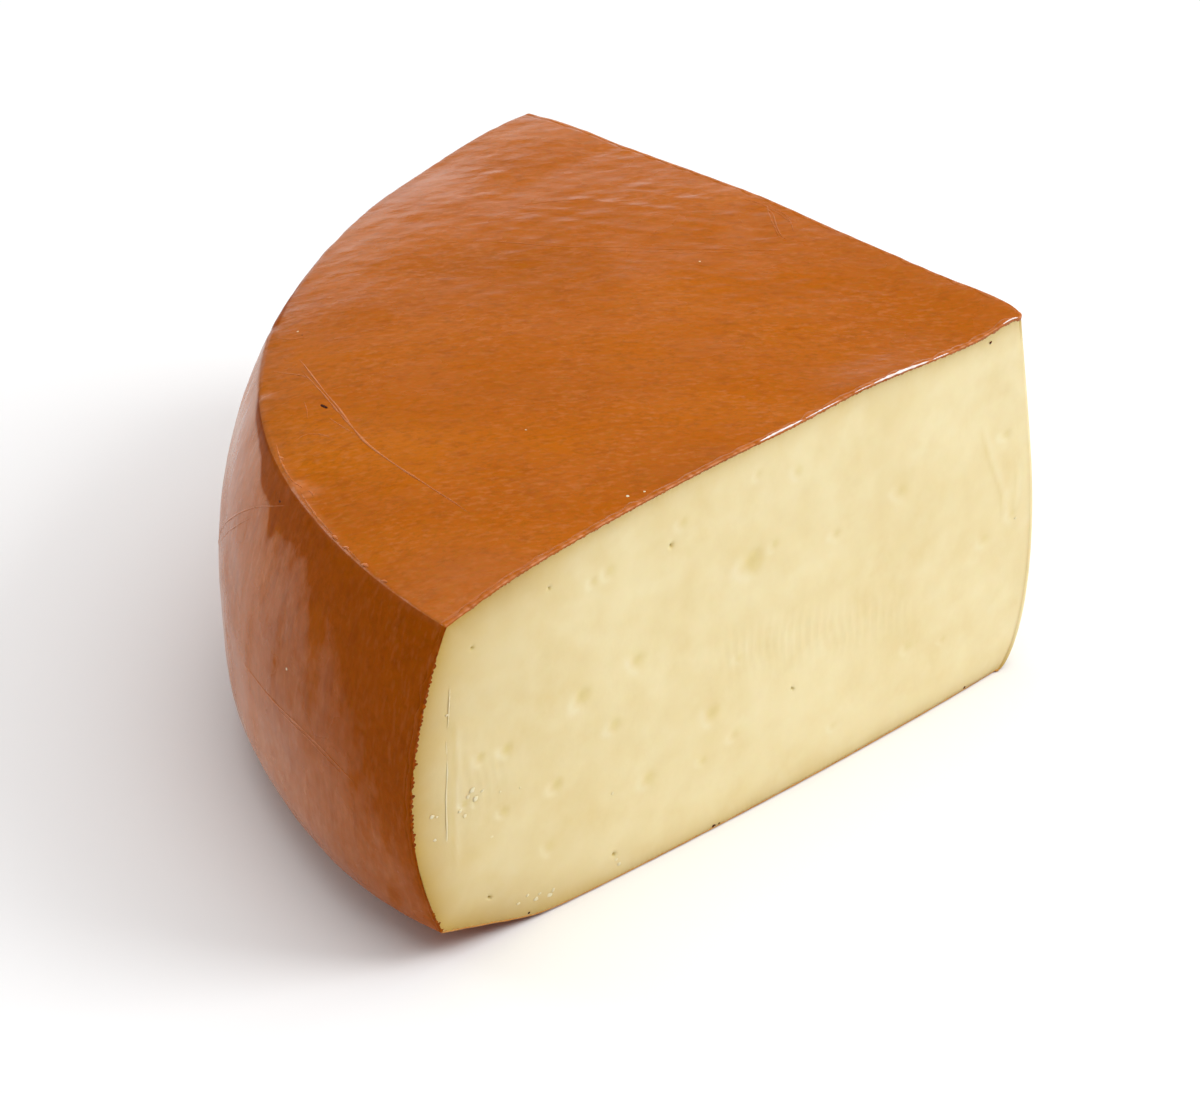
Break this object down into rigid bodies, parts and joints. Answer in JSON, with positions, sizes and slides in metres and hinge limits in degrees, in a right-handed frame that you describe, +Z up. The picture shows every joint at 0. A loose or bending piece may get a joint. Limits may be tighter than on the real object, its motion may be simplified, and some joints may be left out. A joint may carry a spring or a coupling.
{
  "type": "fontina cheese quarter wheel",
  "caption": "Quarter of a wax-coated cheese wheel: bulging waxed wall, bevelled top, flat base, and two pale cut faces with small eyes that meet at a soft tip.",
  "frame": {"origin": "middle of the bounding box, on the surface that the piece stands on", "axes": "+Z up; +X along the near cut face from the rind to the tip; +Y from the near cut face to the far corner of the rind"},
  "size_m": [0.1612, 0.1544, 0.0803],
  "materials": {
    "paste": "smooth cream-coloured cut cheese, satin",
    "wax": "orange-brown cheese wax on the top, wall and underside, semi-gloss and faintly wrinkled"
  },
  "bodies": {
    "root": {"fontina_quarter": "paste"}
  },
  "joints": []
}
